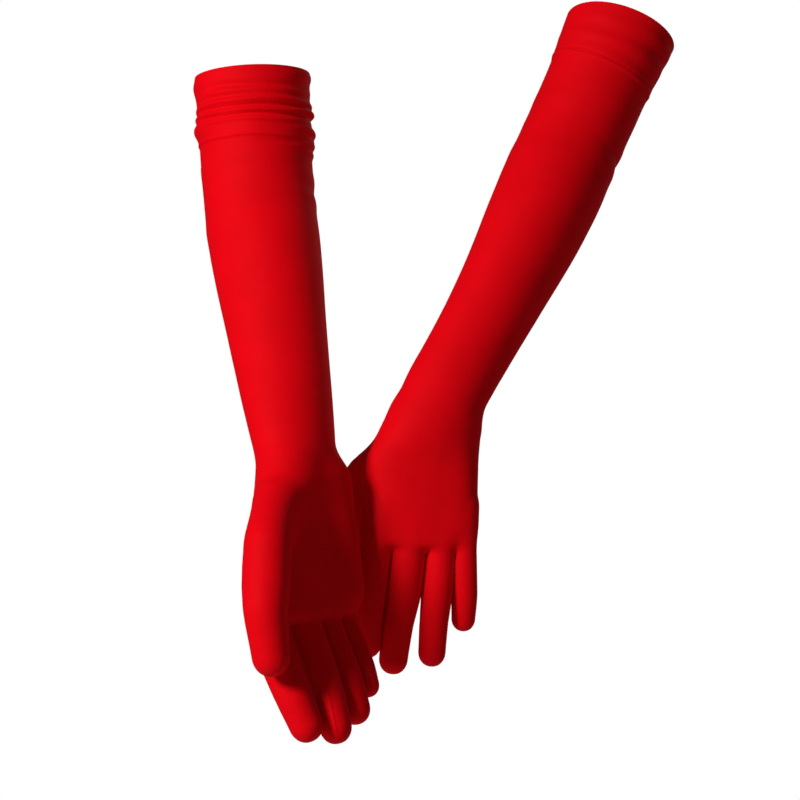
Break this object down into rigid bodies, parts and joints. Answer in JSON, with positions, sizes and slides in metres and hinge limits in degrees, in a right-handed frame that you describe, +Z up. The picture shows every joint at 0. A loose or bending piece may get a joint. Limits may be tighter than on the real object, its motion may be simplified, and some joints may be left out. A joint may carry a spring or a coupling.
{
  "type": "opera gloves",
  "caption": "Pair of elbow-length stretch opera gloves with hem bands; cuffs, elbows, wrists, thumbs and fingers bend as separate pieces.",
  "frame": {"origin": "centre of the bottom of the bounding box of the pair, as it hangs in the picture pose", "axes": "+X to the right of the pair seen from the front, +Y away from the front, +Z up towards the cuffs"},
  "size_m": [0.3493, 0.2797, 0.5017],
  "materials": {
    "stretch_knit": "smooth matt stretch knit",
    "hem_band": "doubled knit band, gathered on one glove",
    "finger_strip": "inset strips of the same knit"
  },
  "bodies": {
    "right_cuff": {"right_cuff_hem": "hem_band"},
    "left_cuff": {"left_cuff_hem": "hem_band"},
    "right_upper": {"right_upper_sleeve": "stretch_knit"},
    "right_gather_1": {"right_gather_1": "hem_band"},
    "right_gather_2": {"right_gather_2": "hem_band"},
    "right_gather_3": {"right_gather_3": "hem_band"},
    "right_forearm": {"right_forearm_sleeve": "stretch_knit"},
    "right_hand": {"right_hand_back": "stretch_knit", "right_hand_palm": "stretch_knit", "right_thumb_gusset": "finger_strip", "right_web_index_middle": "finger_strip", "right_web_middle_ring": "finger_strip", "right_web_ring_little": "finger_strip"},
    "right_thumb_base": {"right_thumb_base": "stretch_knit"},
    "right_thumb_tip": {"right_thumb_tip": "stretch_knit"},
    "right_index_base": {"right_index_base": "stretch_knit"},
    "right_index_mid": {"right_index_mid": "stretch_knit"},
    "right_index_tip": {"right_index_tip": "stretch_knit"},
    "right_middle_base": {"right_middle_base": "stretch_knit"},
    "right_middle_mid": {"right_middle_mid": "stretch_knit"},
    "right_middle_tip": {"right_middle_tip": "stretch_knit"},
    "right_ring_base": {"right_ring_base": "stretch_knit"},
    "right_ring_mid": {"right_ring_mid": "stretch_knit"},
    "right_ring_tip": {"right_ring_tip": "stretch_knit"},
    "right_little_base": {"right_little_base": "stretch_knit"},
    "right_little_mid": {"right_little_mid": "stretch_knit"},
    "right_little_tip": {"right_little_tip": "stretch_knit"},
    "left_upper": {"left_upper_sleeve": "stretch_knit"},
    "left_forearm": {"left_forearm_sleeve": "stretch_knit"},
    "left_hand": {"left_hand_back": "stretch_knit", "left_hand_palm": "stretch_knit", "left_thumb_gusset": "finger_strip", "left_web_index_middle": "finger_strip", "left_web_middle_ring": "finger_strip", "left_web_ring_little": "finger_strip"},
    "left_thumb_base": {"left_thumb_base": "stretch_knit"},
    "left_thumb_tip": {"left_thumb_tip": "stretch_knit"},
    "left_index_base": {"left_index_base": "stretch_knit"},
    "left_index_mid": {"left_index_mid": "stretch_knit"},
    "left_index_tip": {"left_index_tip": "stretch_knit"},
    "left_middle_base": {"left_middle_base": "stretch_knit"},
    "left_middle_mid": {"left_middle_mid": "stretch_knit"},
    "left_middle_tip": {"left_middle_tip": "stretch_knit"},
    "left_ring_base": {"left_ring_base": "stretch_knit"},
    "left_ring_mid": {"left_ring_mid": "stretch_knit"},
    "left_ring_tip": {"left_ring_tip": "stretch_knit"},
    "left_little_base": {"left_little_base": "stretch_knit"},
    "left_little_mid": {"left_little_mid": "stretch_knit"},
    "left_little_tip": {"left_little_tip": "stretch_knit"}
  },
  "joints": [
    {"name": "left_apart", "type": "slide", "parent": "right_cuff", "child": "left_cuff", "axis": [1, 0, 0], "range_m": [0, 0.25]},
    {"name": "right_cuff_slide", "type": "slide", "parent": "right_cuff", "child": "right_upper", "axis": [0.0554, -0.0333, -0.9979], "range_m": [0, 0.025], "stiffness_N_per_m": 500},
    {"name": "right_gather_1_slide", "type": "slide", "parent": "right_cuff", "child": "right_gather_1", "axis": [0.0554, -0.0333, -0.9979], "range_m": [0, 0.00625]},
    {"name": "right_gather_2_slide", "type": "slide", "parent": "right_cuff", "child": "right_gather_2", "axis": [0.0554, -0.0333, -0.9979], "range_m": [0, 0.0125]},
    {"name": "right_gather_3_slide", "type": "slide", "parent": "right_cuff", "child": "right_gather_3", "axis": [0.0554, -0.0333, -0.9979], "range_m": [0, 0.01875]},
    {"name": "right_elbow", "type": "hinge", "parent": "right_upper", "child": "right_forearm", "pos_m": [-0.1275, 0.071, 0.361], "axis": [-0.9487, 0.1637, -0.2705], "range_deg": [-2, 55]},
    {"name": "right_wrist", "type": "hinge", "parent": "right_forearm", "child": "right_hand", "pos_m": [-0.093, -0.038, 0.174], "axis": [-0.6098, -0.7771, 0.1558], "range_deg": [-30, 60]},
    {"name": "right_thumb_open", "type": "hinge", "parent": "right_hand", "child": "right_thumb_base", "pos_m": [-0.10571, -0.10323, 0.12621], "axis": [-0.9959, -0.0416, 0.0806], "range_deg": [-3, 40]},
    {"name": "right_thumb_bend", "type": "hinge", "parent": "right_thumb_base", "child": "right_thumb_tip", "pos_m": [-0.10822, -0.12374, 0.08475], "axis": [-0.6146, -0.6917, 0.3791], "range_deg": [-2, 60]},
    {"name": "right_index_knuckle", "type": "hinge", "parent": "right_hand", "child": "right_index_base", "pos_m": [-0.10739, -0.08784, 0.07124], "axis": [-0.5909, -0.8065, 0.0207], "range_deg": [-5, 60]},
    {"name": "right_index_middle", "type": "hinge", "parent": "right_index_base", "child": "right_index_mid", "pos_m": [-0.09789, -0.09535, 0.04994], "axis": [-0.5909, -0.8065, 0.0207], "range_deg": [-2, 70]},
    {"name": "right_index_end", "type": "hinge", "parent": "right_index_mid", "child": "right_index_tip", "pos_m": [-0.0885, -0.10275, 0.02971], "axis": [-0.5909, -0.8065, 0.0207], "range_deg": [-1.2, 42]},
    {"name": "right_middle_knuckle", "type": "hinge", "parent": "right_hand", "child": "right_middle_base", "pos_m": [-0.08704, -0.07294, 0.07118], "axis": [-0.6006, -0.7955, 0.08], "range_deg": [-5, 60]},
    {"name": "right_middle_middle", "type": "hinge", "parent": "right_middle_base", "child": "right_middle_mid", "pos_m": [-0.07786, -0.08219, 0.0481], "axis": [-0.6006, -0.7955, 0.08], "range_deg": [-2, 70]},
    {"name": "right_middle_end", "type": "hinge", "parent": "right_middle_mid", "child": "right_middle_tip", "pos_m": [-0.0694, -0.09067, 0.0273], "axis": [-0.6006, -0.7955, 0.08], "range_deg": [-1.2, 42]},
    {"name": "right_ring_knuckle", "type": "hinge", "parent": "right_hand", "child": "right_ring_base", "pos_m": [-0.07416, -0.05598, 0.07138], "axis": [-0.6018, -0.7937, 0.0885], "range_deg": [-5, 60]},
    {"name": "right_ring_middle", "type": "hinge", "parent": "right_ring_base", "child": "right_ring_mid", "pos_m": [-0.06567, -0.06472, 0.05071], "axis": [-0.6018, -0.7937, 0.0885], "range_deg": [-2, 70]},
    {"name": "right_ring_end", "type": "hinge", "parent": "right_ring_mid", "child": "right_ring_tip", "pos_m": [-0.05754, -0.07291, 0.03257], "axis": [-0.6018, -0.7937, 0.0885], "range_deg": [-1.2, 42]},
    {"name": "right_little_knuckle", "type": "hinge", "parent": "right_hand", "child": "right_little_base", "pos_m": [-0.06312, -0.04094, 0.0709], "axis": [-0.6062, -0.7859, 0.1222], "range_deg": [-5, 60]},
    {"name": "right_little_middle", "type": "hinge", "parent": "right_little_base", "child": "right_little_mid", "pos_m": [-0.05577, -0.04929, 0.05368], "axis": [-0.6062, -0.7859, 0.1222], "range_deg": [-2, 70]},
    {"name": "right_little_end", "type": "hinge", "parent": "right_little_mid", "child": "right_little_tip", "pos_m": [-0.04915, -0.05646, 0.04038], "axis": [-0.6062, -0.7859, 0.1222], "range_deg": [-1.2, 42]},
    {"name": "left_cuff_slide", "type": "slide", "parent": "left_cuff", "child": "left_upper", "axis": [-0.4031, -0.1416, -0.9042], "range_m": [-0.03, 0], "stiffness_N_per_m": 500},
    {"name": "left_elbow", "type": "hinge", "parent": "left_upper", "child": "left_forearm", "pos_m": [0.1005, 0.086, 0.4015], "axis": [-0.4786, -0.6886, 0.5448], "range_deg": [-2, 62]},
    {"name": "left_wrist", "type": "hinge", "parent": "left_forearm", "child": "left_hand", "pos_m": [0.0005, 0.004, 0.21], "axis": [0.9799, 0.1386, -0.1434], "range_deg": [-8, 60]},
    {"name": "left_thumb_open", "type": "hinge", "parent": "left_hand", "child": "left_thumb_base", "pos_m": [-0.05242, 0.01523, 0.16261], "axis": [0.5378, 0.8346, -0.1192], "range_deg": [-3, 40]},
    {"name": "left_thumb_bend", "type": "hinge", "parent": "left_thumb_base", "child": "left_thumb_tip", "pos_m": [-0.06378, 0.01721, 0.12523], "axis": [0.9516, 0.1197, -0.283], "range_deg": [-2, 60]},
    {"name": "left_index_knuckle", "type": "hinge", "parent": "left_hand", "child": "left_index_base", "pos_m": [-0.04025, -0.0117, 0.1151], "axis": [0.9837, 0.1427, -0.109], "range_deg": [-5, 60]},
    {"name": "left_index_middle", "type": "hinge", "parent": "left_index_base", "child": "left_index_mid", "pos_m": [-0.04252, -0.01456, 0.09088], "axis": [0.9837, 0.1427, -0.109], "range_deg": [-2, 70]},
    {"name": "left_index_end", "type": "hinge", "parent": "left_index_mid", "child": "left_index_tip", "pos_m": [-0.04484, -0.01564, 0.06852], "axis": [0.9837, 0.1427, -0.109], "range_deg": [-1.2, 42]},
    {"name": "left_middle_knuckle", "type": "hinge", "parent": "left_hand", "child": "left_middle_base", "pos_m": [-0.01862, -0.00914, 0.112], "axis": [0.982, 0.1407, -0.1262], "range_deg": [-5, 60]},
    {"name": "left_middle_middle", "type": "hinge", "parent": "left_middle_base", "child": "left_middle_mid", "pos_m": [-0.02167, -0.01219, 0.08484], "axis": [0.982, 0.1407, -0.1262], "range_deg": [-2, 70]},
    {"name": "left_middle_end", "type": "hinge", "parent": "left_middle_mid", "child": "left_middle_tip", "pos_m": [-0.02483, -0.01328, 0.05905], "axis": [0.982, 0.1407, -0.1262], "range_deg": [-1.2, 42]},
    {"name": "left_ring_knuckle", "type": "hinge", "parent": "left_hand", "child": "left_ring_base", "pos_m": [0.0034, -0.00622, 0.11185], "axis": [0.9845, 0.1438, -0.1003], "range_deg": [-5, 60]},
    {"name": "left_ring_middle", "type": "hinge", "parent": "left_ring_base", "child": "left_ring_mid", "pos_m": [0.00121, -0.00922, 0.08611], "axis": [0.9845, 0.1438, -0.1003], "range_deg": [-2, 70]},
    {"name": "left_ring_end", "type": "hinge", "parent": "left_ring_mid", "child": "left_ring_tip", "pos_m": [-0.00113, -0.01016, 0.06175], "axis": [0.9845, 0.1438, -0.1003], "range_deg": [-1.2, 42]},
    {"name": "left_little_knuckle", "type": "hinge", "parent": "left_hand", "child": "left_little_base", "pos_m": [0.02149, -0.00385, 0.11227], "axis": [0.9881, 0.1533, -0.0137], "range_deg": [-5, 60]},
    {"name": "left_little_middle", "type": "hinge", "parent": "left_little_base", "child": "left_little_mid", "pos_m": [0.02153, -0.00565, 0.09486], "axis": [0.9881, 0.1533, -0.0137], "range_deg": [-2, 70]},
    {"name": "left_little_end", "type": "hinge", "parent": "left_little_mid", "child": "left_little_tip", "pos_m": [0.02099, -0.00365, 0.07849], "axis": [0.9881, 0.1533, -0.0137], "range_deg": [-1.2, 42]}
  ],
  "couplings": [
    {"joint": "right_gather_1_slide", "follows": "right_cuff_slide", "ratio": 0.25},
    {"joint": "right_gather_2_slide", "follows": "right_cuff_slide", "ratio": 0.5},
    {"joint": "right_gather_3_slide", "follows": "right_cuff_slide", "ratio": 0.75},
    {"joint": "right_index_end", "follows": "right_index_middle", "ratio": 0.6},
    {"joint": "right_middle_end", "follows": "right_middle_middle", "ratio": 0.6},
    {"joint": "right_ring_end", "follows": "right_ring_middle", "ratio": 0.6},
    {"joint": "right_little_end", "follows": "right_little_middle", "ratio": 0.6},
    {"joint": "left_index_end", "follows": "left_index_middle", "ratio": 0.6},
    {"joint": "left_middle_end", "follows": "left_middle_middle", "ratio": 0.6},
    {"joint": "left_ring_end", "follows": "left_ring_middle", "ratio": 0.6},
    {"joint": "left_little_end", "follows": "left_little_middle", "ratio": 0.6}
  ]
}
